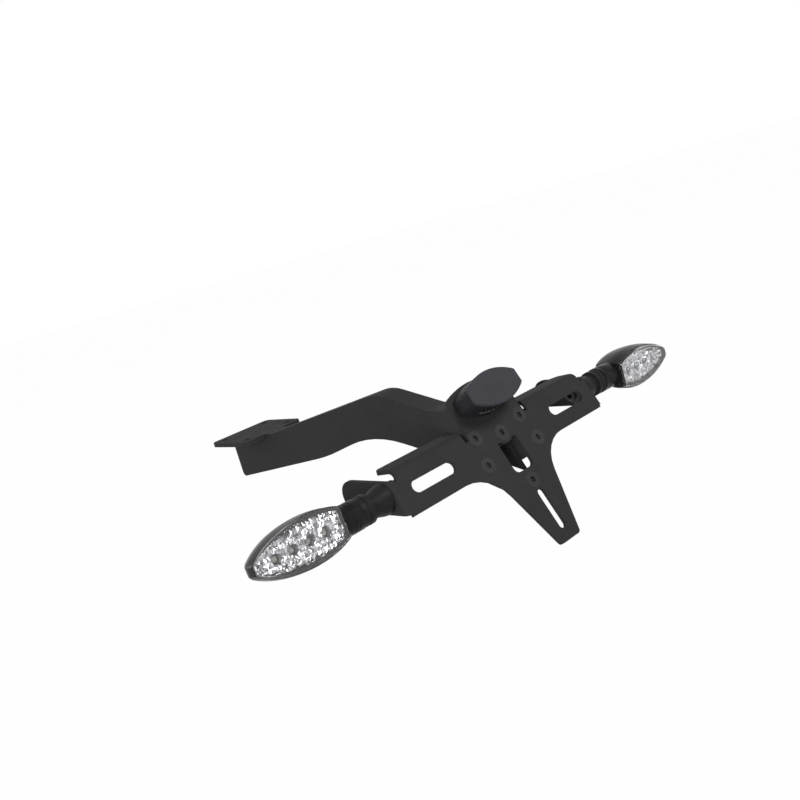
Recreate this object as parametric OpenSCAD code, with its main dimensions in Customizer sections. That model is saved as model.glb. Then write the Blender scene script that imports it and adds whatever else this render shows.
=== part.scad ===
/* [Placement] */
// Distance from the bike mount centre back to the plate bracket
reach = 314; // [290:1:340]
// Height of the bike mount face above the slot line of the bracket
drop = 10; // [5:1:20]
// Lean of the plate bracket from vertical, top towards the front
plate_lean = 26; // [15:1:35]

/* [Plate bracket] */
// Sheet thickness of the bracket
sheet = 3; // [2:0.5:4]
// Half width of the bracket at its ears, over the outer faces
bracket_half_w = 106; // [98:1:125]
// Lower edge of the wings below the slot line
wing_low = 15.5; // [12:0.5:18]
// Bend line of the top flanges above the slot line
wing_high = 12; // [11.5:0.5:15]
// Forward depth of the turned top flanges
flange_depth = 20; // [10:1:26]
// Angle through which the top flanges are turned
flange_turn = 70; // [60:1:80]
// Half width of the tongue at its foot
tongue_foot = 30; // [28:0.5:34]
// Half width of the tongue at its top corners
tongue_top = 28; // [26:0.5:30]
// Height of the tongue corners above the slot line
tongue_high = 40; // [36:1:46]
// Rise of the arched top edge of the tongue
tongue_arch = 6; // [2:0.5:8]
// Depth of the leg below the slot line
leg_low = 81.6; // [78:0.5:100]
// Half width of the leg at its foot
leg_foot = 10.3; // [8:0.1:14]
// Side spread of the leg for each millimetre of height
leg_spread = 0.29; // [0.2:0.01:0.34]
// Radius of the hollows between leg and wings
hollow_r = 29; // [15:1:32]

/* [Slots and window] */
// Distance from the centre to the middle of a wing slot
slot_at = 72; // [66:1:78]
// Overall length of a wing slot
slot_len = 39.4; // [25:0.2:42]
// Width of a wing slot
slot_w = 8.6; // [5:0.1:10]
// Width of the leg slot
leg_slot_w = 6.6; // [5:0.1:8]
// Upper end of the leg slot below the slot line
leg_slot_top = 42; // [41:0.5:55]
// Lower end of the leg slot below the slot line
leg_slot_low = 73.3; // [65:0.1:75]
// Width of the cable window
window_w = 19.4; // [12:0.2:20]
// Upper edge of the cable window below the slot line
window_top = 2; // [1:0.5:6]
// Lower edge of the cable window below the slot line
window_low = 26; // [20:0.5:27]

/* [Ears] */
// Height of an ear
ear_h = 22; // [20:0.5:24]
// Centre line of the ears above the slot line
ear_up = -1.7; // [-3:0.1:0]
// Forward length of an ear from the slot line
ear_len = 55; // [30:1:60]
// Forward distance from the slot line to the indicator stem
stem_forward = 13; // [13:0.5:35]
// Diameter of the indicator stem
stem_d = 8; // [6:0.5:10]

/* [Arm] */
// Outer width of the arm
arm_w = 20; // [18:0.5:24]
// Wall thickness of the arm
arm_wall = 2.5; // [2:0.5:3]
// Thickness of the head plate behind the bracket
head_t = 5; // [4:0.5:5.5]
// Height of the arm at its front end
arm_front_h = 43; // [35:1:50]
// Height of the hump above the slot line
hump_up = 40; // [36:0.5:44]
// Forward distance from the slot line to the hump
hump_forward = 113; // [105:1:125]
// Forward distance from the slot line to the root of the flared shoulder
shoulder_forward = 64; // [50:1:80]

/* [Bike mount] */
// Bolt spacing across the mounting flange
mount_dx = 46; // [40:1:50]
// Bolt spacing along the mounting flange
mount_dy = 40; // [30:1:44]
// Bolt hole diameter
mount_bore = 6.6; // [5.5:0.1:8.4]
// Thickness of the mounting flange
mount_t = 4; // [3:0.5:6]
// Metal around each mounting bolt centre
mount_edge = 10; // [8:0.5:14]

/* [Screws] */
// Nominal diameter of the bracket screws
screw_d = 6; // [5:0.5:6]
// Head diameter of the bracket screws
screw_head_d = 12; // [10:0.5:12]
// Length of the bracket screws
screw_len = 10; // [9:0.5:14]

/* [Number plate lamp] */
// Width of the lamp
lamp_w = 49.5; // [44:0.5:52]
// Height of the lamp
lamp_h = 25.5; // [20:0.5:27]
// Height of the flat ends of the lamp
lamp_end_h = 10.6; // [8:0.2:13]
// Projection of the lamp from the bracket, with its gasket and cap
lamp_out = 20; // [17:0.5:30]
// Centre of the lamp above the slot line
lamp_up = 31.6; // [31:0.1:32.5]
// Thickness of the lamp cap
cap_t = 2.4; // [2:0.1:4]
// Wall of the lamp housing
lamp_wall = 2; // [1.5:0.1:2.5]

/* [Indicators] */
// Length of the indicator boot from the ear
boot_len = 24; // [18:0.5:30]
// Radius of the boot collars
collar_r = 9.9; // [8.5:0.1:11]
// Length of the indicator shell from the boot
body_len = 84; // [74:1:95]
// Height of the indicator shell
body_h = 30.5; // [28:0.5:34]
// Depth of the indicator shell from lens rim to back
body_deep = 36; // [30:0.5:40]
// Distance from the stem axis back to the lens rim
rim_back = 14; // [12:0.5:16]
// Offset of the shell from its stem axis, down on the right side and up on the left
body_shift = 1.7; // [0:0.1:3]
// Distance by which the back of the shell stops short of its tip
tip_tuck = 14; // [5:1:25]
// Rise of the back of the shell against its rim, up on the right side and down on the left
back_lift = 1.5; // [0:0.5:4]
// Turn of the left indicator about its stem, lens upwards
left_turn = 10; // [0:1:15]
// Wall of the indicator shell
shell_wall = 2; // [1.5:0.1:2.5]
// Thickness of the indicator lens
lens_t = 2.5; // [2:0.1:3]

/* [Hidden] */
$fn = 48;
fit = 0.2;
seat_gap = 0.1;
hull_fn = 32;
ear_bend = 1;
flange_bend = 4;
cable_r = 4;
csk_depth = 2.4;
hex_af = 4;
screw_side = [23.8, 8.8];
screw_wide = [27.2, -11.4];
screw_mid = [0, 3.8];
screw_low = [0, -34.7];
SCREWS = [
    screw_mid, screw_low,
    screw_side, [-screw_side.x, screw_side.y],
    screw_wide, [-screw_wide.x, screw_wide.y]
];

// Points of an arc that rounds the corner b of the path a, b, c
function unit(v) = v / norm(v);
function turn(a, b) = (a.x * b.y - a.y * b.x) > 0 ? 1 : -1;
function corner(a, b, c, r, n = 6) =
    r == 0 ? [b] :
    let (p = unit(a - b), q = unit(c - b))
    let (half = acos(p * q) / 2, s = turn(b - a, c - b))
    let (o = b + unit(p + q) * r / sin(half), e = b + p * r / tan(half))
    let (start = atan2(e.y - o.y, e.x - o.x), sweep = s * (180 - 2 * half))
    [for (i = [0:n]) o + r * [cos(start + sweep * i / n), sin(start + sweep * i / n)]];
// Outline with each point [x, y, radius] rounded
function xy(p) = [p.x, p.y];
function rounded(pts) = let (m = len(pts)) [
    for (i = [0:m - 1])
        each corner(xy(pts[(i + m - 1) % m]), xy(pts[i]), xy(pts[(i + 1) % m]), pts[i].z)
];
function mirrored(pts) = [for (i = [len(pts) - 1:-1:0]) [-pts[i].x, pts[i].y, pts[i].z]];
// Side view place, forward and up, of a point of the bracket plane
function on_side(up, out) = [
    up * sin(plate_lean) - out * cos(plate_lean) - reach,
    up * cos(plate_lean) + out * sin(plate_lean) - drop
];

// Places children on the bracket: x right, y up the sheet, z out from its rear face
module on_bracket() {
    translate([0, -reach, -drop]) rotate([90 - plate_lean, 0, 0]) children();
}

// Extrudes a side view outline, drawn forward and up, across the object
module side_extrude(width, at = 0) {
    translate([at - width / 2, 0, 0]) rotate([90, 0, 90]) linear_extrude(width) children();
}

// Bracket
leg_top = wing_low - leg_low;
function leg_half(up) = leg_foot + (up + leg_low) * leg_spread;
wing_half = bracket_half_w - ear_bend - sheet;
relief = 4;

module bracket_outline() {
    right = [
        [leg_foot, -leg_low, 3],
        [leg_half(-wing_low), -wing_low, hollow_r],
        [wing_half, -wing_low, 0],
        [wing_half, wing_high - 3.5, 0],
        [wing_half - 2, wing_high - 3.5, 2],
        [wing_half - 4, wing_high, 0],
        [tongue_foot + relief, wing_high, 0],
        [tongue_foot + relief, wing_high - 3, 1.5],
        [tongue_foot, wing_high - 3, 1.5],
        [tongue_top, tongue_high, 1]
    ];
    arch_r = (tongue_top * tongue_top + tongue_arch * tongue_arch) / (2 * tongue_arch);
    polygon(rounded(concat(right, mirrored(right))));
    intersection() {
        translate([0, tongue_high + tongue_arch - arch_r]) circle(arch_r, $fn = 160);
        translate([-tongue_top, tongue_high - 4]) square([2 * tongue_top, tongue_arch + 6]);
    }
}

module slot(length, width) {
    for (s = [-1, 1]) translate([s * (length - width) / 2, 0]) circle(width / 2);
    square([length - width, width], center = true);
}

module window_outline() {
    half = window_w / 2;
    difference() {
        polygon(rounded([
            [-half, -window_top, 1], [-half, -window_low, 4],
            [half, -window_low, 4], [half, -window_top, 1]
        ]));
        translate(screw_mid) circle(screw_head_d / 2 + 2);
    }
}

module slots_2d() {
    for (s = [-1, 1]) translate([s * slot_at, 0]) slot(slot_len, slot_w);
    translate([0, -(leg_slot_top + leg_slot_low) / 2]) rotate(90)
        slot(leg_slot_low - leg_slot_top, leg_slot_w);
    window_outline();
}

// A turned top flange: a bend and a level strip that runs forward
flange_in = tongue_foot + relief;
flange_out = wing_half - 4;
flange_cut = 9;

module flange_section() {
    run = [cos(flange_turn), -sin(flange_turn)];
    inward = [-sin(flange_turn), -cos(flange_turn)];
    outer = [wing_high + (flange_bend + sheet) * tan(flange_turn / 2), 0];
    inner = [wing_high + flange_bend * tan(flange_turn / 2), -sheet];
    edge = outer + run * flange_depth;
    back = edge + inward * sheet;
    polygon(rounded([
        [wing_high - 0.5, 0, 0], [outer.x, outer.y, flange_bend + sheet],
        [edge.x, edge.y, 0], [back.x, back.y, 0],
        [inner.x, inner.y, flange_bend], [wing_high - 0.5, -sheet, 0]
    ]));
}

// The flange's outer front corner is cut off at an angle
module top_flange(side) {
    mid = side * (flange_in + flange_out) / 2;
    front = wing_high * cos(flange_turn) + flange_depth + flange_bend;
    difference() {
        translate([mid - (flange_out - flange_in) / 2, 0, 0]) rotate([90, 0, 90])
            linear_extrude(flange_out - flange_in) flange_section();
        rotate([-flange_turn, 0, 0]) translate([side * flange_out, front, 0]) rotate(45)
            cube([flange_cut, flange_cut, reach], center = true);
    }
}

// An ear: the wing's end turned forward, cut level above and below
module ear(side) {
    low = ear_up - ear_h / 2 - drop;
    high = ear_up + ear_h / 2 - drop;
    front = ear_len - reach;
    tail = front - ear_len - ear_h;
    far = ear_len + ear_h;
    w = side * bracket_half_w;
    v = side * (bracket_half_w - sheet);
    u = side * (wing_half - 1);
    difference() {
        intersection() {
            on_bracket() translate([0, far / 2, 0]) rotate([90, 0, 0]) linear_extrude(far)
                polygon(rounded([
                    [u, 0, 0], [w, 0, ear_bend + sheet], [w, -far, 0],
                    [v, -far, 0], [v, -sheet, ear_bend], [u, -sheet, 0]
                ]));
            side_extrude(3 * bracket_half_w)
                polygon(rounded([
                    [tail, low, 0], [front, low, ear_h / 2 - 0.2],
                    [front, high, ear_h / 2 - 0.2], [tail, high, 0]
                ]));
        }
        stem_bore(side, stem_d / 2 + fit);
    }
}

// Bore along the stem of one indicator, through the ear
module stem_bore(side, r) {
    translate([side * (bracket_half_w - sheet / 2), stem_forward - reach, ear_up - drop])
        rotate([0, 90, 0]) cylinder(h = 30, r = r, center = true);
}

module csk_holes() {
    for (p = SCREWS) translate([p.x, p.y, 0]) {
        translate([0, 0, -sheet - 1]) cylinder(h = sheet + 2, r = screw_d / 2 + fit);
        translate([0, 0, -csk_depth]) cylinder(h = csk_depth + 0.01,
            r1 = screw_d / 2 + fit, r2 = screw_head_d / 2 + fit);
    }
}

module plate_bracket() color([0.16, 0.16, 0.17]) {
    on_bracket() difference() {
        union() {
            translate([0, 0, -sheet]) linear_extrude(sheet) difference() {
                bracket_outline();
                slots_2d();
            }
            top_flange(1);
            top_flange(-1);
        }
        csk_holes();
        for (s = [-1, 1]) translate([s * lamp_screw_x, lamp_up, -sheet - 1])
            cylinder(h = sheet + 2, r = lamp_screw_d / 2 + fit);
        translate([0, lamp_up, -sheet - 1]) cylinder(h = sheet + 2, r = cable_r);
    }
    ear(1);
    ear(-1);
}

// Arm, drawn in side view: forward of the bracket and above its slot line
function at(forward, up, r = 0) = [forward - reach, up - drop, r];
head_back = -sheet - head_t;
mount_front = mount_dy / 2 + mount_edge;
front_end = reach + mount_front;
arm_top_rear = 15.9;
arm_low_rear = -29;
hump_r = 45;
belly = [128, 7.7, 124];
heel = [45, -13.8, 20];
keel = [199, -12.1, 300];
top_rear = on_side(arm_top_rear, head_back + 1);
low_rear = on_side(arm_low_rear, head_back + 1);

function arm_top(lower) = [
    [top_rear.x, top_rear.y - lower, 0],
    at(hump_forward, hump_up - lower, hump_r),
    at(front_end - 2 * mount_front - 10, drop - lower, 60),
    at(front_end, drop - lower)
];

module arm_side() {
    polygon(rounded(concat(arm_top(0), [
        at(front_end, drop - arm_front_h, 4), at(keel.x, keel.y, keel.z),
        at(belly.x, belly.y, belly.z), at(heel.x, heel.y, heel.z), [low_rear.x, low_rear.y, 0]
    ])));
}

module arm_hollow() {
    far = 200;
    polygon(rounded(concat(
        [[top_rear.x - 30, top_rear.y - 9 - arm_wall, 0]], arm_top(arm_wall),
        [at(front_end + 10, drop - arm_wall), at(front_end + 10, -far),
        [top_rear.x - 30, -far, 0]]
    )));
}

// Level plate on top of the arm's front end, for the bike mount bolts
module mount_flange() {
    w = mount_dx / 2 + mount_edge;
    translate([0, 0, -mount_t]) linear_extrude(mount_t) polygon(rounded([
        [-w, -mount_front, 6], [w, -mount_front, 6], [w, mount_front, 6], [-w, mount_front, 6]
    ]));
}

module head_outline() {
    low = screw_low.y - 8;
    side = screw_wide.x + 11;
    high = wing_high - 0.5;
    polygon(rounded([
        [10, low, 3], [side, screw_wide.y, 5], [side, high, 1],
        [tongue_foot - 3, high, 0], [tongue_top - 3, tongue_high - 3, 1],
        [-tongue_top + 3, tongue_high - 3, 1], [-tongue_foot + 3, high, 0],
        [-side, high, 1], [-side, screw_wide.y, 5], [-10, low, 3]
    ]));
}

// The flared shoulder widens the arm to the edges of the tongue, above the side screws
shoulder_low = 15;
shoulder_rise = 33;
shoulder_root = [12.3, 24.4];
shoulder_slant = 6;

module shoulder(inset, end) {
    half = arm_w / 2 - inset;
    foot = tongue_foot - 0.5 - 1.8 * inset;
    top = tongue_top - 0.5 - 1.8 * inset;
    crown = tongue_top / 2;
    hull() {
        translate([-half, shoulder_forward - reach, shoulder_root[0] - drop + inset])
            cube([2 * half, 1, 1]);
        translate([-half, shoulder_forward - shoulder_slant - reach, shoulder_root[1] - drop - 1 - inset])
            cube([2 * half, 1, 1]);
        on_bracket() translate([0, 0, end - 1]) linear_extrude(1) polygon([
            [-foot, shoulder_low + inset], [foot, shoulder_low + inset],
            [top, shoulder_rise - inset], [crown, tongue_high - 1 - inset],
            [-crown, tongue_high - 1 - inset], [-top, shoulder_rise - inset]
        ]);
    }
}

// Holes of the head plate: screws, lamp screw heads, cable hole and window, which widens at its foot
module head_holes() on_bracket() {
    side = window_w / 2 + 0.2;
    wide = side + 8;
    low = -window_low - 0.2;
    translate([0, 0, head_back - 1]) {
        for (p = SCREWS) translate([p.x, p.y, 0]) cylinder(h = head_t + 2, r = screw_d / 2 + 0.1);
        for (s = [-1, 1]) translate([s * lamp_screw_x, lamp_up, 0]) cylinder(h = head_t + 2, r = 6);
        translate([0, lamp_up, 0]) cylinder(h = head_t + 2, r = cable_r);
        linear_extrude(head_t + 2) polygon(rounded([
            [-side, -window_top - 1.5, 1], [-side, low + 7, 0], [-wide, low + 7, 2], [-wide, low, 2],
            [wide, low, 2], [wide, low + 7, 2], [side, low + 7, 0], [side, -window_top - 1.5, 1]
        ]));
    }
}

module main_arm() color([0.13, 0.13, 0.14]) difference() {
    union() {
        difference() {
            union() {
                side_extrude(arm_w) arm_side();
                shoulder(0, -sheet);
            }
            side_extrude(arm_w - 2 * arm_wall) arm_hollow();
            shoulder(arm_wall, head_back + 1);
        }
        on_bracket() translate([0, 0, head_back]) linear_extrude(head_t) head_outline();
        mount_flange();
    }
    head_holes();
    for (x = [-1, 1], y = [-1, 1]) translate([x * mount_dx / 2, y * mount_dy / 2, -mount_t - 1])
        cylinder(h = mount_t + 2, r = mount_bore / 2);
}

module hex_socket(depth) {
    rotate(30) cylinder(h = depth + 0.01, r = hex_af / 2 / cos(30), $fn = 6);
}

module csk_screw() {
    cone = csk_depth - 0.4;
    difference() {
        union() {
            translate([0, 0, -screw_len]) cylinder(h = screw_len - 1, r = screw_d / 2);
            translate([0, 0, -csk_depth]) cylinder(h = cone, r1 = screw_d / 2, r2 = screw_head_d / 2);
            translate([0, 0, cone - csk_depth]) cylinder(h = csk_depth - cone, r = screw_head_d / 2);
        }
        translate([0, 0, -1.8]) hex_socket(1.8);
    }
}

module bracket_screws() color([0.1, 0.1, 0.11]) on_bracket()
    for (p = SCREWS) translate([p.x, p.y, 0]) csk_screw();

// Number plate lamp, on the tongue
gasket_t = 1.2;
lamp_screw_d = 4;
lamp_screw_x = 15;
led_window_w = 30;
led_window_h = 9;
board_t = 1.2;
housing_top = lamp_out - cap_t;

module lamp_outline(inset = 0) {
    half = lamp_w / 2 - inset;
    rise = (lamp_h - lamp_end_h) / 2;
    r = (lamp_w * lamp_w / 4 + rise * rise) / (2 * rise) - inset;
    intersection() {
        square([2 * half, lamp_h], center = true);
        translate([0, lamp_h / 2 - inset - r]) circle(r, $fn = 160);
        translate([0, r + inset - lamp_h / 2]) circle(r, $fn = 160);
    }
}

module on_lamp(out) on_bracket() translate([0, lamp_up, out]) children();

module lamp_gasket() color([0.05, 0.05, 0.05]) on_lamp(0) linear_extrude(gasket_t) difference() {
    lamp_outline(0.4);
    circle(cable_r);
    for (s = [-1, 1]) translate([s * lamp_screw_x, 0]) circle(lamp_screw_d / 2 + fit);
}

// The lamp shines down through a window in the underside of its housing
lens_mid = gasket_t + 4.3 + led_window_h / 2;

module lamp_window(gap) translate([0, -lamp_h / 2, lens_mid])
    cube([led_window_w - 2 * gap, lamp_h / 2, led_window_h - 2 * gap], center = true);

module lamp_housing() color([0.2, 0.2, 0.22]) on_lamp(0) difference() {
    translate([0, 0, gasket_t]) linear_extrude(housing_top - gasket_t) lamp_outline();
    translate([0, 0, gasket_t + lamp_wall]) linear_extrude(lamp_out) lamp_outline(lamp_wall);
    cylinder(h = lamp_out, r = cable_r - 1);
    for (s = [-1, 1]) translate([s * lamp_screw_x, 0, 0]) cylinder(h = lamp_out, r = lamp_screw_d / 2);
    lamp_window(0);
}

module lamp_cap() color([0.24, 0.24, 0.26]) on_lamp(housing_top) {
    linear_extrude(cap_t - 0.6) lamp_outline();
    translate([0, 0, cap_t - 0.6]) linear_extrude(0.6) lamp_outline(0.5);
    translate([0, 0, -1.4]) linear_extrude(1.41) difference() {
        lamp_outline(lamp_wall + seat_gap);
        lamp_outline(lamp_wall + 1.6);
    }
}

module lamp_lens() color([0.9, 0.92, 0.95, 0.5]) on_lamp(0) intersection() {
    linear_extrude(lamp_out) difference() {
        lamp_outline(0.3);
        lamp_outline(lamp_wall + 0.3);
    }
    lamp_window(seat_gap);
}

board_y = -lamp_h / 2 + lamp_wall + 3.4;

module lamp_board() color([0.1, 0.35, 0.2]) on_lamp(gasket_t + lamp_wall)
    translate([-led_window_w / 2, board_y, 0]) cube([led_window_w, board_t, 12]);

module lamp_leds() color([0.95, 0.95, 0.85]) on_lamp(lens_mid)
    for (x = [-10:10:10]) translate([x, board_y, 0]) rotate([90, 0, 0]) {
        translate([-2, -2, 0]) cube([4, 4, 1.2]);
        translate([0, 0, 1.2]) cylinder(h = 0.6, r = 1.5);
    }

module lamp_screws() color([0.6, 0.6, 0.62]) on_lamp(0) for (s = [-1, 1]) translate([s * lamp_screw_x, 0, 0]) {
    translate([0, 0, -sheet - 3]) difference() {
        cylinder(h = 3, r = lamp_screw_d * 0.9);
        rotate(30) translate([0, 0, -0.01]) cylinder(h = 1.6, r = 1.4, $fn = 6);
    }
    translate([0, 0, -sheet - 0.01]) cylinder(h = sheet + gasket_t + lamp_wall, r = lamp_screw_d / 2);
}

// Indicators: the same unit on both sides, turned half a turn and a little more on the left.
// x runs outwards from the ear, y forward, from the stem axis
module on_ear(side) {
    translate([0, stem_forward - reach, ear_up - drop])
        rotate([side > 0 ? 0 : -left_turn, 0, 0]) rotate([0, side > 0 ? 0 : 180, 0])
            translate([bracket_half_w, 0, 0]) children();
}

// Turns a profile of [along, radius] points round the stem axis
module turned(pts) rotate([0, 90, 0]) rotate_extrude() polygon([for (p = pts) [p.y, p.x]]);

stem_out = boot_len + 6;
stem_bore_r = 2.2;
nut_t = 5;
nut_af = 13;
washer_t = 1.6;
stem_room = stem_forward * cos(plate_lean) - ear_up * sin(plate_lean) - sheet;
washer_r = min(stem_d, stem_room - ear_bend - 0.3);

module boot(side) color([0.06, 0.06, 0.06]) on_ear(side) {
    r = stem_d / 2 + seat_gap;
    neck = collar_r - 1.9;
    turned([
        [0, r], [0, collar_r + 0.6], [2, collar_r + 0.6], [5, collar_r], [10, neck + 0.4],
        [boot_len - 9.4, neck], [boot_len - 9, collar_r], [boot_len - 5.4, collar_r],
        [boot_len - 5, neck + 1], [boot_len - 3.6, neck + 1], [boot_len - 3.2, collar_r],
        [boot_len, collar_r - 0.4], [boot_len, r]
    ]);
}

module stem(side) color([0.5, 0.5, 0.52]) on_ear(side) {
    back = sheet + washer_t + nut_t + 3;
    r = stem_d / 2;
    turned([[-back, stem_bore_r], [-back, r - 0.6], [-back + 0.6, r], [stem_out, r], [stem_out, stem_bore_r]]);
}

module washer(side) color([0.55, 0.55, 0.56]) on_ear(side)
    translate([-sheet - washer_t, 0, 0]) rotate([0, 90, 0]) difference() {
        cylinder(h = washer_t, r = washer_r);
        translate([0, 0, -1]) cylinder(h = washer_t + 2, r = stem_d / 2 + seat_gap);
    }

module nut(side) color([0.45, 0.45, 0.47]) on_ear(side)
    translate([-sheet - washer_t - nut_t, 0, 0]) rotate([0, 90, 0]) difference() {
        cylinder(h = nut_t, r = nut_af / 2 / cos(30), $fn = 6);
        translate([0, 0, -1]) cylinder(h = nut_t + 2, r = stem_d / 2);
    }

// Rear view outline of the shell's head: two arched edges and a blunt tip
neck_len = body_len * 0.19;
root_tuck = body_len * 0.08;
neck_h = body_h * 0.34;
neck_r = collar_r + 0.2;
tip_h = body_h * 0.15;
function bow(a, b, c, d, n = 9) = [
    for (i = [0:n]) let (t = i / n, u = 1 - t)
        a * u * u * u + b * 3 * t * u * u + c * 3 * t * t * u + d * t * t * t
];
function upper_edge() = bow(
    [neck_len, neck_h], [body_len * 0.4, body_h * 0.62],
    [body_len * 0.78, body_h * 0.56], [body_len * 0.985, tip_h]
);
function tip_edge() = bow(
    [body_len * 0.985, tip_h], [body_len * 1.005, tip_h / 2],
    [body_len * 1.005, -tip_h / 2], [body_len * 0.985, -tip_h], 4
);
// A slice of the head, inset all round, with its root and tip drawn in, lifted against the rim
module head_slab(y, t, inset, root_in = 0, tip_in = 0, lift = 0) {
    from = neck_len + inset + root_in;
    kx = (body_len - inset - tip_in - from) / (body_len - neck_len);
    ky = (body_h / 2 - inset) / (body_h / 2);
    up = [for (q = upper_edge()) [from + (q.x - neck_len) * kx, q.y * ky]];
    tip = [
        for (q = tip_edge()) if (abs(q.y) < tip_h)
            [from + (q.x - neck_len) * kx, q.y * ky]
    ];
    low = [for (i = [len(up) - 1:-1:0]) [up[i].x, -up[i].y]];
    translate([0, y + t, lift - body_shift]) rotate([90, 0, 0])
        linear_extrude(t) polygon(concat(up, tip, low));
}

module shell_solid(inset) {
    front = -rim_back + lens_t;
    deep = body_deep - rim_back - inset;
    hull() {
        head_slab(front, 1, inset + 0.6);
        head_slab(front + body_deep * 0.25, 1, inset, root_tuck * 0.3, tip_tuck * 0.1, back_lift * 0.3);
        head_slab(front + body_deep * 0.6, 1, inset + 2.5, root_tuck * 0.8, tip_tuck * 0.45, back_lift * 0.7);
        head_slab(deep - 1, 1, inset + 8.5, root_tuck, tip_tuck, back_lift);
    }
    hull() {
        rotate([0, 90, 0]) cylinder(h = 1, r = neck_r - inset, $fn = hull_fn);
        translate([neck_len + inset, 0, -body_shift / 2]) rotate([0, 90, 0])
            cylinder(h = 8, r = neck_h - inset - 0.5, $fn = hull_fn);
    }
}

module shell(side) color([0.08, 0.08, 0.09]) on_ear(side) translate([boot_len, 0, 0]) difference() {
    shell_solid(0);
    difference() {
        translate([0, -0.01, 0]) shell_solid(shell_wall);
        translate([-1, -body_deep, -body_h]) cube([1 + shell_wall, 2 * body_deep, 2 * body_h]);
    }
    translate([-1, 0, 0]) rotate([0, 90, 0]) cylinder(h = 8, r = stem_d / 2 + seat_gap);
    head_slab(-rim_back, lens_t + 3, shell_wall + 0.6);
}

module lens(side) color([0.9, 0.93, 0.96, 0.5]) on_ear(side) translate([boot_len, 0, 0])
    hull() {
        head_slab(-rim_back, 1, 3);
        head_slab(-rim_back + lens_t - 1, 1 - seat_gap, 0.9);
    }

// Four light-emitting diodes stand in the cups of the reflector
led_from = body_len * 0.36;
led_step = body_len * 0.145;
led_r = 2;
led_t = 0.8;
led_edge = 5;
led_board_h = 12;
reflector_t = 3.4;
reflector_y = -rim_back + lens_t + 3;

module on_leds(side) on_ear(side) translate([boot_len, 0, 0])
    for (i = [0:3]) translate([led_from + i * led_step, reflector_y + reflector_t, -body_shift])
        rotate([90, 0, 0]) children();

module reflector(side) color([0.8, 0.8, 0.82]) difference() {
    on_ear(side) translate([boot_len, 0, 0])
        head_slab(reflector_y, reflector_t, shell_wall + 0.6 + seat_gap);
    on_leds(side) translate([0, 0, -0.2])
        cylinder(h = reflector_t + 0.4, r1 = led_r + fit, r2 = led_step * 0.44);
}

module board(side) color([0.1, 0.35, 0.2]) on_ear(side) translate([boot_len, 0, 0])
    translate([led_from - led_edge, reflector_y + reflector_t, -led_board_h / 2 - body_shift])
        cube([3 * led_step + 2 * led_edge, board_t, led_board_h]);

module leds(side) color([1, 0.9, 0.6]) on_leds(side) {
    cylinder(h = led_t, r = led_r);
    translate([0, 0, led_t]) cylinder(h = led_t, r1 = led_r, r2 = led_r / 2);
}

module left_boot() boot(-1);
module left_stem() stem(-1);
module left_washer() washer(-1);
module left_nut() nut(-1);
module left_shell() shell(-1);
module left_reflector() reflector(-1);
module left_board() board(-1);
module left_leds() leds(-1);
module left_lens() lens(-1);
module right_boot() boot(1);
module right_stem() stem(1);
module right_washer() washer(1);
module right_nut() nut(1);
module right_shell() shell(1);
module right_reflector() reflector(1);
module right_board() board(1);
module right_leds() leds(1);
module right_lens() lens(1);

main_arm();
plate_bracket();
bracket_screws();
lamp_gasket();
lamp_housing();
lamp_cap();
lamp_lens();
lamp_board();
lamp_leds();
lamp_screws();
left_boot();
left_stem();
left_washer();
left_nut();
left_shell();
left_reflector();
left_board();
left_leds();
left_lens();
right_boot();
right_stem();
right_washer();
right_nut();
right_shell();
right_reflector();
right_board();
right_leds();
right_lens();
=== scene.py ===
import math

import bpy
from mathutils import Matrix, Vector

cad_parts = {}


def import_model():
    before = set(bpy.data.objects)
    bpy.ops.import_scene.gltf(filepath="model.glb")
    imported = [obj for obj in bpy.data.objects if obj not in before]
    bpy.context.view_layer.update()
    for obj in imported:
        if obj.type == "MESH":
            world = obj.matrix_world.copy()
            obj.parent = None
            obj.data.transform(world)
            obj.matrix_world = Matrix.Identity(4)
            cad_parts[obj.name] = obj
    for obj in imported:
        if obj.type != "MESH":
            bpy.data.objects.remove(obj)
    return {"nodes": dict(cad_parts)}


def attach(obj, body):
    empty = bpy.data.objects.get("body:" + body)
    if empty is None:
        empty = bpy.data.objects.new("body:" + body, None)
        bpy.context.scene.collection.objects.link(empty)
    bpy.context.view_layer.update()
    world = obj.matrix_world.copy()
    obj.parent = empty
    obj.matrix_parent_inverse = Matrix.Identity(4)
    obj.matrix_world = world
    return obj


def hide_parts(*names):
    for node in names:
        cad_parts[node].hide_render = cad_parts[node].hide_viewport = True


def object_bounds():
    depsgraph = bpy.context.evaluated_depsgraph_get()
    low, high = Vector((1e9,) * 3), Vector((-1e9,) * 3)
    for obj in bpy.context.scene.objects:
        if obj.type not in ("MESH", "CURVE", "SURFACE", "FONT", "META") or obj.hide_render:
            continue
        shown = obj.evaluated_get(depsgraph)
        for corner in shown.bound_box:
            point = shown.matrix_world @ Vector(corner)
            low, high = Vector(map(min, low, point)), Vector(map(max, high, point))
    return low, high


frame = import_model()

cad_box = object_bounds()

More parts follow.
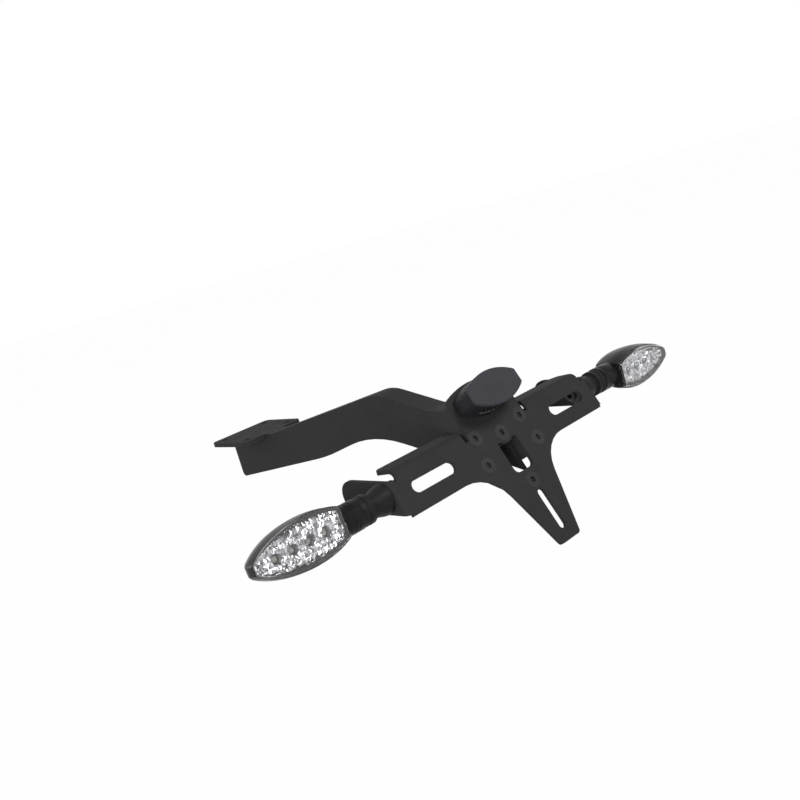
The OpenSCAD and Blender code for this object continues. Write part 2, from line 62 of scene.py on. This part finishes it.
# Sizes in metres, in the frame of the bike mount: x right, y forward, z up
MM = 0.001
REACH = 314 * MM
DROP = 10 * MM
PLATE_LEAN = math.radians(26)
PLATE_OUT = Vector((0, -math.cos(PLATE_LEAN), math.sin(PLATE_LEAN)))
EAR_FACE = 106 * MM
STEM_FORWARD = 13 * MM
STEM_UP = -1.7 * MM
LEFT_TURN = math.radians(10)
BOOT_LEN = 24 * MM
NECK_R = 10.1 * MM
NECK_LEN = 16 * MM
BODY_LEN = 84 * MM
BODY_H = 30.5 * MM
BODY_DEEP = 36 * MM
TIP_H = 4.6 * MM
TIP_TUCK = 14 * MM
ROOT_TUCK = 6.7 * MM
RIM_BACK = 14 * MM
BODY_SHIFT = 1.7 * MM
BACK_LIFT = 1.5 * MM
LENS_T = 2.5 * MM
LENS_INSET = 0.9 * MM
LENS_SEAT = 0.1 * MM
RIM_SIDE = 3.6 * MM
RIM_ROOT = 2.0 * MM
RIM_TIP = 2.6 * MM
POCKET_DEEP = 8.5 * MM
NECK_START = 0.5 * MM
REFLECTOR_BEHIND = 3 * MM
REFLECTOR_T = 3.4 * MM
REFLECTOR_FIT = 0.2 * MM
PYRAMID_ROWS = (30, 8)
PYRAMID_H = 1.1 * MM
PYRAMID_UNEVEN = 0.8 * MM
CUP_COUNT = 4
CUP_FLOOR_R = 2.2 * MM
CUP_MOUTH_R = 4 * MM
CUP_DEEP = 6 * MM
CUP_BACK = 0.6 * MM
LAMP_CORNER = 2.6 * MM
# Slices of the head from its rim to its back: share of the depth, inset in millimetres,
# and shares of the root draw, the tip draw and the lift
HEAD_SLICES = (
    (0, 0.6, 0, 0, 0), (0.28, 0, 0.3, 0.1, 0.3), (0.66, 2.3, 0.8, 0.45, 0.7),
    (0.9, 6.2, 0.95, 0.8, 0.9), (1.0, 9.6, 1.0, 1.0, 1.0),
)
# Steps of the lens towards its face: rise in millimetres, and its scale along and across
LENS_STEPS = ((0.9, 0.997, 0.985), (1.0, 0.97, 0.9), (0.35, 0.985, 0.96))
# Steps of the neck towards the head: length in millimetres, scale of the radius, and shift in millimetres
NECK_STEPS = (
    (4.2, 1.0, 0), (0.25, 0.955, 0), (0.5, 1.0, 0), (0.25, 1.047, 0), (2.0, 1.0, 0),
    (0.25, 0.955, 0), (0.5, 1.0, 0), (0.25, 1.047, 0), (6, 1.0, -0.3), (8, 0.98, -0.9), (9, 0.9, -0.3),
)


# Modelling helpers
def deselect_all():
    if bpy.context.mode != "OBJECT":
        bpy.ops.object.mode_set(mode="OBJECT")
    bpy.ops.object.select_all(action="DESELECT")


def activate(obj):
    deselect_all()
    obj.select_set(True)
    bpy.context.view_layer.objects.active = obj


def edit(obj):
    """Enters edit mode with the whole mesh selected."""
    activate(obj)
    bpy.ops.object.mode_set(mode="EDIT")
    bpy.ops.mesh.select_mode(type="FACE")
    bpy.ops.mesh.select_all(action="SELECT")


def leave_edit():
    bpy.ops.object.mode_set(mode="OBJECT")


def pick_faces(obj, wanted):
    """Selects the faces whose centre and normal satisfy wanted, in edit mode."""
    bpy.ops.object.mode_set(mode="OBJECT")
    for part in (obj.data.vertices, obj.data.edges):
        part.foreach_set("select", [False] * len(part))
    for face in obj.data.polygons:
        face.select = wanted(face.center, face.normal)
    bpy.ops.object.mode_set(mode="EDIT")
    bpy.ops.mesh.select_mode(type="FACE")


def pick_verts(obj, wanted):
    """Selects the vertices whose place satisfies wanted, in edit mode."""
    bpy.ops.object.mode_set(mode="OBJECT")
    for part in (obj.data.edges, obj.data.polygons):
        part.foreach_set("select", [False] * len(part))
    for vertex in obj.data.vertices:
        vertex.select = wanted(vertex.co)
    bpy.ops.object.mode_set(mode="EDIT")
    bpy.ops.mesh.select_mode(type="VERT")


def extrude(offset, scale=(1, 1, 1), about=None):
    """Extrudes the selected faces by offset and then scales them about a point."""
    bpy.ops.mesh.extrude_region_move(TRANSFORM_OT_translate={"value": offset})
    if scale != (1, 1, 1):
        resize(scale, about)


def resize(scale, about):
    """Scales the selection about a point."""
    bpy.ops.transform.resize(value=scale, center_override=about)


def soften(obj, width, segments, angle):
    """Rounds the edges sharper than angle, and keeps flat faces flat in their shading."""
    apply_modifier(
        obj, "BEVEL", width=width, segments=segments, limit_method="ANGLE",
        angle_limit=math.radians(angle), use_clamp_overlap=True,
    )
    activate(obj)
    bpy.ops.object.shade_smooth()
    apply_modifier(obj, "WEIGHTED_NORMAL", mode="FACE_AREA", weight=50, keep_sharp=False)


def apply_modifier(obj, kind, **values):
    activate(obj)
    modifier = obj.modifiers.new(kind.lower(), kind)
    for name, value in values.items():
        setattr(modifier, name, value)
    bpy.ops.object.modifier_apply(modifier=modifier.name)


def place(obj, matrix):
    """Moves the mesh itself, so that the object stays at the origin."""
    obj.data.transform(matrix)
    if matrix.determinant() < 0:
        obj.data.flip_normals()
    obj.data.update()
    return obj


def copy_of(obj, name):
    twin = obj.copy()
    twin.data = obj.data.copy()
    twin.name = name
    bpy.context.collection.objects.link(twin)
    return twin


def add(obj, name, material, slot, *nodes):
    """Names a finished piece, gives it its material, and hides the nodes that it stands for."""
    obj.name = name
    obj.data.name = name
    obj.data.materials.clear()
    obj.data.materials.append(material)
    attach(obj, "root")
    if nodes:
        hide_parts(*nodes)


def on_ear(side):
    """The indicator's own frame: x outwards from the ear, y forward, half a turn on the left."""
    stem = Matrix.Translation((0, STEM_FORWARD - REACH, STEM_UP - DROP))
    out = Matrix.Translation((EAR_FACE, 0, 0))
    if side == "right":
        return stem @ out
    return stem @ Matrix.Rotation(-LEFT_TURN, 4, "X") @ Matrix.Rotation(math.pi, 4, "Y") @ out


# Materials
def new_group(name, inputs, outputs):
    group = bpy.data.node_groups.new(name, "ShaderNodeTree")
    for label, kind, value in inputs:
        socket = group.interface.new_socket(label, in_out="INPUT", socket_type=kind)
        if value is not None:
            socket.default_value = value
    for label, kind in outputs:
        group.interface.new_socket(label, in_out="OUTPUT", socket_type=kind)
    source = group.nodes.new("NodeGroupInput")
    target = group.nodes.new("NodeGroupOutput")
    return group, source, target


def fine_grain():
    """Grain height, uneven gloss and a mottling of a colour, slight on most finishes and strong on the
    silver, where it is painted reflection.
    """
    group, source, target = new_group(
        "fine_grain",
        [
            ("Vector", "NodeSocketVector", None), ("Colour", "NodeSocketColor", (0.5, 0.5, 0.5, 1)),
            ("Mottle And Painted Reflection", "NodeSocketFloat", 0.1), ("Grain Scale", "NodeSocketFloat", 3000.0),
            ("Patch Scale", "NodeSocketFloat", 60.0), ("Rough Low", "NodeSocketFloat", 0.4),
            ("Rough High", "NodeSocketFloat", 0.5),
        ],
        [("Colour", "NodeSocketColor"), ("Roughness", "NodeSocketFloat"), ("Height", "NodeSocketFloat")],
    )
    nodes, links = group.nodes, group.links
    grain = nodes.new("ShaderNodeTexNoise")
    grain.inputs["Detail"].default_value = 2.5
    patches = nodes.new("ShaderNodeTexNoise")
    patches.inputs["Detail"].default_value = 5
    rough = nodes.new("ShaderNodeMapRange")
    rough.inputs["From Min"].default_value = 0.35
    rough.inputs["From Max"].default_value = 0.65
    low = nodes.new("ShaderNodeMath")
    low.operation = "SUBTRACT"
    low.inputs[0].default_value = 1
    high = nodes.new("ShaderNodeMath")
    high.operation = "ADD"
    high.inputs[0].default_value = 1
    shade = nodes.new("ShaderNodeMapRange")
    shade.inputs["From Min"].default_value = 0.3
    shade.inputs["From Max"].default_value = 0.7
    tint = nodes.new("ShaderNodeVectorMath")
    tint.operation = "SCALE"
    links.new(source.outputs["Vector"], grain.inputs["Vector"])
    links.new(source.outputs["Vector"], patches.inputs["Vector"])
    links.new(source.outputs["Grain Scale"], grain.inputs["Scale"])
    links.new(source.outputs["Patch Scale"], patches.inputs["Scale"])
    links.new(source.outputs["Mottle And Painted Reflection"], low.inputs[1])
    links.new(source.outputs["Mottle And Painted Reflection"], high.inputs[1])
    links.new(patches.outputs["Fac"], rough.inputs["Value"])
    links.new(source.outputs["Rough Low"], rough.inputs["To Min"])
    links.new(source.outputs["Rough High"], rough.inputs["To Max"])
    links.new(patches.outputs["Fac"], shade.inputs["Value"])
    links.new(low.outputs[0], shade.inputs["To Min"])
    links.new(high.outputs[0], shade.inputs["To Max"])
    links.new(source.outputs["Colour"], tint.inputs[0])
    links.new(shade.outputs["Result"], tint.inputs["Scale"])
    links.new(tint.outputs["Vector"], target.inputs["Colour"])
    links.new(rough.outputs["Result"], target.inputs["Roughness"])
    links.new(grain.outputs["Fac"], target.inputs["Height"])
    return group


def finish(name, colour, rough, grain, mottle_and_painted_reflection=0.08, patches=60, bump=0.1, depth=0.0001, **sockets):
    """A principled material whose colour, gloss and bump come from the grain group."""
    material = bpy.data.materials.new(name)
    material.use_nodes = True
    nodes, links = material.node_tree.nodes, material.node_tree.links
    shader = nodes["Principled BSDF"]
    coordinates = nodes.new("ShaderNodeTexCoord")
    group = nodes.new("ShaderNodeGroup")
    group.node_tree = GRAIN
    group.inputs["Colour"].default_value = (*colour, 1)
    group.inputs["Mottle And Painted Reflection"].default_value = mottle_and_painted_reflection
    group.inputs["Grain Scale"].default_value = grain
    group.inputs["Patch Scale"].default_value = patches
    group.inputs["Rough Low"].default_value = rough[0]
    group.inputs["Rough High"].default_value = rough[1]
    relief = nodes.new("ShaderNodeBump")
    relief.inputs["Strength"].default_value = bump
    relief.inputs["Distance"].default_value = depth
    links.new(coordinates.outputs["Object"], group.inputs["Vector"])
    links.new(group.outputs["Colour"], shader.inputs["Base Color"])
    links.new(group.outputs["Roughness"], shader.inputs["Roughness"])
    links.new(group.outputs["Height"], relief.inputs["Height"])
    links.new(relief.outputs["Normal"], shader.inputs["Normal"])
    for socket, value in sockets.items():
        shader.inputs[socket.replace("_", " ")].default_value = value
    return material


GRAIN = fine_grain()
POWDER_COAT = finish(
    "powder_coat", (0.0345, 0.0345, 0.0345), (0.58, 0.68), 2600, bump=0.35, depth=0.00012,
    Specular_IOR_Level=0.03,
)
BLACK_OXIDE = finish(
    "black_oxide", (0.024, 0.024, 0.024), (0.32, 0.42), 3500, bump=0.15,
    Specular_IOR_Level=0.2,
)
LAMP_BLACK = finish(
    "lamp_black", (0.05, 0.048, 0.055), (0.45, 0.55), 3200, bump=0.25,
    Specular_IOR_Level=0.05,
)
# The housing's copy of the lamp black is darker than the cap's: its darker colour is painted shade for
# the lamp's underside.
LAMP_BODY_SHADED = finish(
    "lamp_body_painted_shade", (0.02, 0.019, 0.021), (0.4, 0.5), 3200, bump=0.25,
    Specular_IOR_Level=0.05,
)
RUBBER = finish(
    "rubber", (0.014, 0.014, 0.014), (0.42, 0.52), 2200, bump=0.3,
    Specular_IOR_Level=0.08,
)
GLOSS_BLACK = finish(
    "gloss_black", (0.014, 0.014, 0.0145), (0.19, 0.27), 900, bump=0.03,
    Specular_IOR_Level=0.06,
)
# The silver's strong mottle is painted reflection: light and dark patches in its colour that stand in for
# the surroundings mirrored in the reflector's facets.
SILVER = finish(
    "silver", (0.5, 0.5, 0.51), (0.12, 0.25), 700, mottle_and_painted_reflection=0.6, patches=330, bump=0.5, depth=0.0004,
    Metallic=1.0,
)
CIRCUIT = finish("circuit", (0.01, 0.05, 0.025), (0.3, 0.45), 1200, bump=0.2)
LED = finish("led", (0.34, 0.34, 0.31), (0.15, 0.25), 1500, mottle_and_painted_reflection=0.4, patches=700, bump=0.05)
ZINC = finish("zinc", (0.55, 0.55, 0.57), (0.25, 0.4), 2500, bump=0.2, Metallic=1.0)
CLEAR = finish(
    "clear", (0.98, 0.985, 0.99), (0.02, 0.05), 700, mottle_and_painted_reflection=0.01, bump=0.02,
    Transmission_Weight=1.0, IOR=1.49, Specular_IOR_Level=0.15,
)
# A darkened copy of the clear for the lamp lens: its grey tint is painted shade for the shaded underside
# of the lamp, where the lens sits.
SHADED_CLEAR = finish(
    "clear_with_painted_shade", (0.2, 0.2, 0.21), (0.15, 0.25), 700, mottle_and_painted_reflection=0.05, bump=0.05,
    Transmission_Weight=1.0, IOR=1.3, Specular_IOR_Level=0.15,
)


# Pieces that keep the shape of their node, with softened edges
SOFT_ANGLE = 30
FLAT_ANGLE = math.radians(1)
MERGE_WITHIN = 0.002 * MM
CORNER_EDGE = 0.4 * MM
CORNER_FROM_MIDDLE = 25 * MM
STRAIGHT = 0.999


def round_corners(obj, axis, width, least):
    """Rounds the corner edges along an axis that lie at least so far from the middle."""
    middle = sum((v.co for v in obj.data.vertices), Vector()) / len(obj.data.vertices)
    leave_edit()
    for part in (obj.data.vertices, obj.data.edges, obj.data.polygons):
        part.foreach_set("select", [False] * len(part))
    for edge in obj.data.edges:
        a, b = (obj.data.vertices[i].co for i in edge.vertices)
        away = (a + b) / 2 - middle
        away -= axis * away.dot(axis)
        along = (b - a).length > CORNER_EDGE and abs((b - a).normalized().dot(axis)) > STRAIGHT
        if along and away.length > least:
            edge.select = True
    bpy.ops.object.mode_set(mode="EDIT")
    bpy.ops.mesh.select_mode(type="EDGE")
    bpy.ops.mesh.bevel(offset=width, segments=5, affect="EDGES")


def softened(node, material, slot, width, segments=2, corners=0):
    """A copy of a node's mesh, merged into faces, with its sharp edges rounded."""
    source = frame["nodes"][node]
    obj = copy_of(source, node + "_finish")
    for key in list(obj.keys()):
        del obj[key]
    obj.parent = None
    obj.matrix_world = Matrix.Identity(4)
    edit(obj)
    bpy.ops.mesh.remove_doubles(threshold=MERGE_WITHIN)
    bpy.ops.mesh.dissolve_limited(angle_limit=FLAT_ANGLE)
    if corners:
        round_corners(obj, PLATE_OUT, corners, CORNER_FROM_MIDDLE)
    leave_edit()
    soften(obj, width, segments, SOFT_ANGLE)
    add(obj, node + "_finish", material, slot, node)


# Indicators, drawn in the ear's own frame
ROOT_X = BOOT_LEN + NECK_LEN
TIP_X = BOOT_LEN + BODY_LEN
LENS_PLANE = LENS_T - RIM_BACK
REFLECTOR_Y = LENS_PLANE + REFLECTOR_BEHIND
REFLECTOR_LEN = BODY_LEN * 0.86
LED_FROM = BOOT_LEN + BODY_LEN * 0.36
LED_STEP = BODY_LEN * 0.145
HEAD_STEPS = 16
# Control points of the curve along the rim's upper edge, from the boot's end and the rim's middle line
LEAF_ALONG = (NECK_LEN, BODY_LEN * 0.4, BODY_LEN * 0.78, BODY_LEN * 0.985)
LEAF_HALF = (BODY_H * 0.34, BODY_H * 0.62, BODY_H * 0.56, TIP_H)
LEAF_STEPS = 18
TIP_END_HALF = TIP_H * 0.62
# A cutter starts this far outside the face that it cuts
CUT_PAST = 1 * MM
# The reflector's cutter, from in front of its pyramids to behind its back
OUTLINE_BEFORE = 3 * MM
OUTLINE_DEEP = 9 * MM


def leaf(t):
    """A point of the rim's upper edge, root at 0 and blunt tip at 1: place along and half height."""
    u = 1 - t
    share = (u ** 3, 3 * t * u * u, 3 * t * t * u, t ** 3)
    along = sum(map(float.__mul__, LEAF_ALONG, share))
    half = sum(map(float.__mul__, LEAF_HALF, share))
    return BOOT_LEN + along, half


def leaf_face(name, y, inset, root_in=None, tip_in=None):
    """A flat face with the rim's leaf-shaped outline, extruded from root to tip and then drawn in."""
    root_in = inset if root_in is None else root_in
    tip_in = inset if tip_in is None else tip_in
    deselect_all()
    bpy.ops.mesh.primitive_plane_add(size=1, rotation=(math.pi / 2, 0, 0))
    obj = bpy.context.object
    obj.name = name
    bpy.ops.object.transform_apply(location=True, rotation=True, scale=True)
    points = [leaf(i / LEAF_STEPS) for i in range(LEAF_STEPS + 1)] + [(TIP_X, TIP_END_HALF)]
    (x0, h0), (x1, h1) = points[0], points[1]
    edit(obj)
    pick_verts(obj, lambda p: p.x < 0)
    resize((1, 1, 2 * h0), (0, 0, 0))
    bpy.ops.transform.translate(value=(x0 + 0.5, y, -BODY_SHIFT))
    pick_verts(obj, lambda p: p.x > 0.4)
    resize((1, 1, 2 * h1), (0, 0, 0))
    bpy.ops.transform.translate(value=(x1 - 0.5, y, -BODY_SHIFT))
    past = points[1]
    for here in points[2:]:
        bpy.ops.mesh.extrude_edges_move(TRANSFORM_OT_translate={"value": (here[0] - past[0], 0, 0)})
        resize((1, 1, here[1] / past[1]), (here[0], y, -BODY_SHIFT))
        past = here
    bpy.ops.mesh.select_mode(type="FACE")
    bpy.ops.mesh.select_all(action="SELECT")
    bpy.ops.mesh.dissolve_faces()
    drawn = (TIP_X - tip_in - ROOT_X - root_in) / (TIP_X - ROOT_X)
    resize((drawn, 1, 1 - 2 * inset / BODY_H), (ROOT_X, y, -BODY_SHIFT))
    bpy.ops.transform.translate(value=(root_in, 0, 0))
    return obj


def outwards():
    """Turns all normals outwards and leaves edit mode."""
    bpy.ops.mesh.select_all(action="SELECT")
    bpy.ops.mesh.normals_make_consistent(inside=False)
    leave_edit()


def head_slice(t):
    """Inset, root draw, tip draw and lift at a depth, on a smooth line through the stated slices."""
    last = len(HEAD_SLICES) - 1
    i = max(k for k in range(last) if HEAD_SLICES[k][0] <= t)
    rows = [HEAD_SLICES[max(0, min(last, k))] for k in (i - 1, i, i + 1, i + 2)]
    (t0, *a), (t1, *b), (t2, *c), (t3, *d) = rows
    s = (t - t1) / (t2 - t1)
    values = []
    for p, q, r, v in zip(a, b, c, d):
        into = (r - p) / (t2 - t0) * (t2 - t1)
        out = (v - q) / (t3 - t1) * (t2 - t1)
        values.append(
            q * (2 * s ** 3 - 3 * s ** 2 + 1) + into * (s ** 3 - 2 * s ** 2 + s)
            + r * (3 * s ** 2 - 2 * s ** 3) + out * (s ** 3 - s ** 2)
        )
    inset, root, tip, lift = values
    return inset * MM, root * ROOT_TUCK, tip * TIP_TUCK, lift * BACK_LIFT


def head_blank():
    """The closed head, built up in slices from its rim to its back, which lies a little higher."""
    inset, root, tip, lift = head_slice(0)
    obj = leaf_face("shell", LENS_PLANE, inset)
    depth = BODY_DEEP - LENS_T
    left, right, half = ROOT_X + inset + root, TIP_X - inset - tip, BODY_H / 2 - inset
    for i in range(1, HEAD_STEPS + 1):
        t = i / HEAD_STEPS
        inset, root, tip, up = head_slice(t)
        to_left, to_right, to_half = ROOT_X + inset + root, TIP_X - inset - tip, BODY_H / 2 - inset
        scale = ((to_right - to_left) / (right - left), 1, to_half / half)
        centre = Vector((to_left, LENS_PLANE + depth * t, up - BODY_SHIFT))
        extrude((to_left - left, depth / HEAD_STEPS, up - lift), scale, centre)
        left, right, half, lift = to_left, to_right, to_half, up
    outwards()
    return obj


def combine(obj, other, operation):
    """Joins or cuts obj with another closed piece, which is used up."""
    apply_modifier(obj, "BOOLEAN", operation=operation, object=other, solver="EXACT")
    bpy.data.objects.remove(other)


def neck_blank():
    """The round neck from the boot into the head, with two moulded grooves."""
    deselect_all()
    bpy.ops.mesh.primitive_cylinder_add(
        vertices=64, radius=NECK_R, depth=NECK_START,
        location=(BOOT_LEN + NECK_START / 2, 0, 0), rotation=(0, math.pi / 2, 0),
    )
    obj = bpy.context.object
    bpy.ops.object.transform_apply(location=True, rotation=True, scale=True)
    edit(obj)
    pick_faces(obj, lambda c, n: n.x > 0.9)
    along, shifted = BOOT_LEN + NECK_START, 0.0
    for length, scale, shift in NECK_STEPS:
        along += length * MM
        shifted += shift * MM
        extrude((length * MM, 0, shift * MM), (1, scale, scale), Vector((along, 0, shifted)))
    outwards()
    return obj


def shell_master():
    """The gloss black shell: head and neck in one, with a pocket inside its wide flat rim."""
    shell = head_blank()
    combine(shell, neck_blank(), "UNION")
    pocket = leaf_face("pocket", LENS_PLANE - CUT_PAST, RIM_SIDE, RIM_ROOT, RIM_TIP)
    extrude((0, CUT_PAST + POCKET_DEEP, 0))
    outwards()
    combine(shell, pocket, "DIFFERENCE")
    soften(shell, width=0.4 * MM, segments=2, angle=32)
    return shell


def lens_master():
    """The clear lens over the rim, with sloping sides and a bevelled front edge."""
    lens = leaf_face("lens", LENS_PLANE - LENS_SEAT, LENS_INSET)
    centre = Vector(((ROOT_X + TIP_X) / 2, 0, -BODY_SHIFT))
    for rise, along, across in LENS_STEPS:
        extrude((0, -rise * MM, 0), (along, 1, across), centre)
    outwards()
    soften(lens, width=0.3 * MM, segments=2, angle=40)
    return lens


def reflector_outline():
    """The cutter that gives the reflector the pocket's outline, less its fit."""
    sides = [rim + REFLECTOR_FIT for rim in (RIM_SIDE, RIM_ROOT, RIM_TIP)]
    outline = leaf_face("outline", REFLECTOR_Y - OUTLINE_BEFORE, *sides)
    extrude((0, OUTLINE_DEEP, 0))
    outwards()
    return outline


def reflector_master():
    """The silver reflector: rows of small uneven pyramids, cut to the pocket's outline, with cups."""
    deselect_all()
    middle = Vector(((ROOT_X + TIP_X) / 2, REFLECTOR_Y, -BODY_SHIFT))
    columns, rows = PYRAMID_ROWS
    bpy.ops.mesh.primitive_grid_add(
        x_subdivisions=columns, y_subdivisions=rows, size=1,
        location=middle, rotation=(math.pi / 2, 0, 0),
    )
    grid = bpy.context.object
    grid.name = "reflector"
    bpy.ops.object.transform_apply(location=True, rotation=True, scale=True)
    edit(grid)
    resize((REFLECTOR_LEN, 1, BODY_H), middle)
    bpy.ops.mesh.poke(offset=PYRAMID_H)
    bpy.ops.transform.vertex_random(offset=PYRAMID_UNEVEN, seed=4)
    bpy.ops.mesh.select_all(action="SELECT")
    extrude((0, REFLECTOR_T, 0), (1, 0, 1), (0, REFLECTOR_Y + REFLECTOR_T, 0))
    outwards()
    combine(grid, reflector_outline(), "INTERSECT")
    for i in range(CUP_COUNT):
        deselect_all()
        bpy.ops.mesh.primitive_cone_add(
            vertices=32, radius1=CUP_FLOOR_R, radius2=CUP_MOUTH_R, depth=CUP_DEEP,
            location=(LED_FROM + i * LED_STEP, REFLECTOR_Y + CUP_BACK, -BODY_SHIFT),
            rotation=(math.pi / 2, 0, 0),
        )
        combine(grid, bpy.context.object, "DIFFERENCE")
    activate(grid)
    bpy.ops.object.shade_flat()
    return grid


def indicators():
    masters = (
        (shell_master(), "shell", GLOSS_BLACK, "gloss_black_shell"),
        (lens_master(), "lens", CLEAR, "clear_lens"),
        (reflector_master(), "reflector", SILVER, "silver_reflector"),
    )
    for master, part, material, slot in masters:
        for side in ("left", "right"):
            piece = place(copy_of(master, side + "_" + part), on_ear(side))
            add(piece, side + "_" + part + "_finish", material, slot, side + "_" + part)
        bpy.data.objects.remove(master)


indicators()
for node in ("main_arm", "plate_bracket"):
    softened(node, POWDER_COAT, "black_powder_coat", 0.5 * MM)
# The housing takes the darker lamp black, whose darkness is painted shade.
softened("lamp_housing", LAMP_BODY_SHADED, "lamp_black", 0.3 * MM, corners=LAMP_CORNER)
softened("lamp_cap", LAMP_BLACK, "lamp_black", 0.45 * MM, segments=3, corners=LAMP_CORNER)
softened("bracket_screws", BLACK_OXIDE, "black_oxide", 0.45 * MM)
for side in ("left", "right"):
    softened(side + "_boot", RUBBER, "rubber", 0.25 * MM)
    softened(side + "_nut", BLACK_OXIDE, "black_oxide", 0.3 * MM)

# The lamp lens takes the darkened clear, whose grey tint is painted shade.
NODE_FINISH = {
    "lamp_gasket": RUBBER, "lamp_lens": SHADED_CLEAR, "lamp_board": CIRCUIT, "lamp_leds": LED,
    "lamp_screws": ZINC, "stem": BLACK_OXIDE, "washer": BLACK_OXIDE, "board": CIRCUIT, "leds": LED,
}
for name, obj in frame["nodes"].items():
    key = name if name in NODE_FINISH else name.split("_")[-1]
    if key in NODE_FINISH and not obj.hide_render:
        obj.data.materials.clear()
        obj.data.materials.append(NODE_FINISH[key])


# Floor, light and camera
WORLD_LIGHT = 0.15
FLOOR_WHITE = 0.985
FLOOR_GREY = (0.82, 0.82, 0.82, 1)
FLOOR_SIZE = 60
LIT_CENTRE = (0, -0.25, 0)
CAMERA_AT = (-0.43533, -0.73426, 0.14844)
CAMERA_RIGHT = Vector((0.7021, -0.6577, -0.2728))
CAMERA_UP = Vector((0.3268, -0.0428, 0.9441))
CAMERA_BACK = Vector((-0.6326, -0.7520, 0.1849))


def seen_rays(nodes, links):
    """1 for the rays that show the background: camera, glossy and transmission rays."""
    path = nodes.new("ShaderNodeLightPath")
    either = nodes.new("ShaderNodeMath")
    either.operation = "MAXIMUM"
    any_ray = nodes.new("ShaderNodeMath")
    any_ray.operation = "MAXIMUM"
    links.new(path.outputs["Is Camera Ray"], either.inputs[0])
    links.new(path.outputs["Is Glossy Ray"], either.inputs[1])
    links.new(either.outputs[0], any_ray.inputs[0])
    links.new(path.outputs["Is Transmission Ray"], any_ray.inputs[1])
    return any_ray.outputs[0]


def white_over(material, plain, share):
    """Mixes a white of strength 1 over a share of the surface, for the rays that show the background."""
    nodes, links = material.node_tree.nodes, material.node_tree.links
    amount = nodes.new("ShaderNodeMath")
    amount.operation = "MULTIPLY"
    amount.inputs[1].default_value = share
    white = nodes.new("ShaderNodeEmission")
    white.inputs["Color"].default_value = (1, 1, 1, 1)
    mix = nodes.new("ShaderNodeMixShader")
    links.new(seen_rays(nodes, links), amount.inputs[0])
    links.new(amount.outputs[0], mix.inputs["Fac"])
    links.new(plain.outputs[0], mix.inputs[1])
    links.new(white.outputs[0], mix.inputs[2])
    return mix


def floor(height):
    deselect_all()
    bpy.ops.mesh.primitive_plane_add(size=FLOOR_SIZE, location=(0, 0, height))
    plane = bpy.context.object
    plane.name = "floor"
    material = bpy.data.materials.new("floor")
    material.use_nodes = True
    nodes, links = material.node_tree.nodes, material.node_tree.links
    shader = nodes["Principled BSDF"]
    shader.inputs["Base Color"].default_value = FLOOR_GREY
    shader.inputs["Roughness"].default_value = 0.9
    shader.inputs["Specular IOR Level"].default_value = 0.0
    mix = white_over(material, shader, FLOOR_WHITE)
    links.new(mix.outputs[0], nodes["Material Output"].inputs["Surface"])
    plane.data.materials.append(material)


def world():
    surroundings = bpy.data.worlds.new("studio")
    surroundings.use_nodes = True
    bpy.context.scene.world = surroundings
    nodes, links = surroundings.node_tree.nodes, surroundings.node_tree.links
    shader = nodes["Background"]
    shader.inputs["Color"].default_value = (1, 1, 1, 1)
    strength = nodes.new("ShaderNodeMapRange")
    strength.inputs["To Min"].default_value = WORLD_LIGHT
    strength.inputs["To Max"].default_value = 1.0
    links.new(seen_rays(nodes, links), strength.inputs["Value"])
    links.new(strength.outputs["Result"], shader.inputs["Strength"])


def area_light(name, at, side, power):
    """A soft square light that faces the middle of the part."""
    data = bpy.data.lights.new(name, "AREA")
    data.shape = "RECTANGLE"
    data.size, data.size_y = side, side
    data.energy = power
    light = bpy.data.objects.new(name, data)
    bpy.context.collection.objects.link(light)
    light.location = at
    light.rotation_euler = (Vector(LIT_CENTRE) - Vector(at)).to_track_quat("-Z", "Y").to_euler()


def camera():
    data = bpy.data.cameras.new("camera")
    data.sensor_width = 36
    data.lens = 40.5
    obj = bpy.data.objects.new("camera", data)
    bpy.context.collection.objects.link(obj)
    turn = Matrix((CAMERA_RIGHT, CAMERA_UP, CAMERA_BACK)).transposed().to_4x4()
    obj.matrix_world = Matrix.Translation(CAMERA_AT) @ turn
    bpy.context.scene.camera = obj


floor(cad_box[0][2])
world()
area_light("key", (0.35, -1.35, 1.1), side=0.5, power=14)
area_light("fill", (-1.7, -1.15, 0.22), side=0.9, power=26)
area_light("front", (-0.9, 1.4, 0.45), side=0.9, power=8)
camera()
bpy.context.scene.view_settings.view_transform = "Standard"
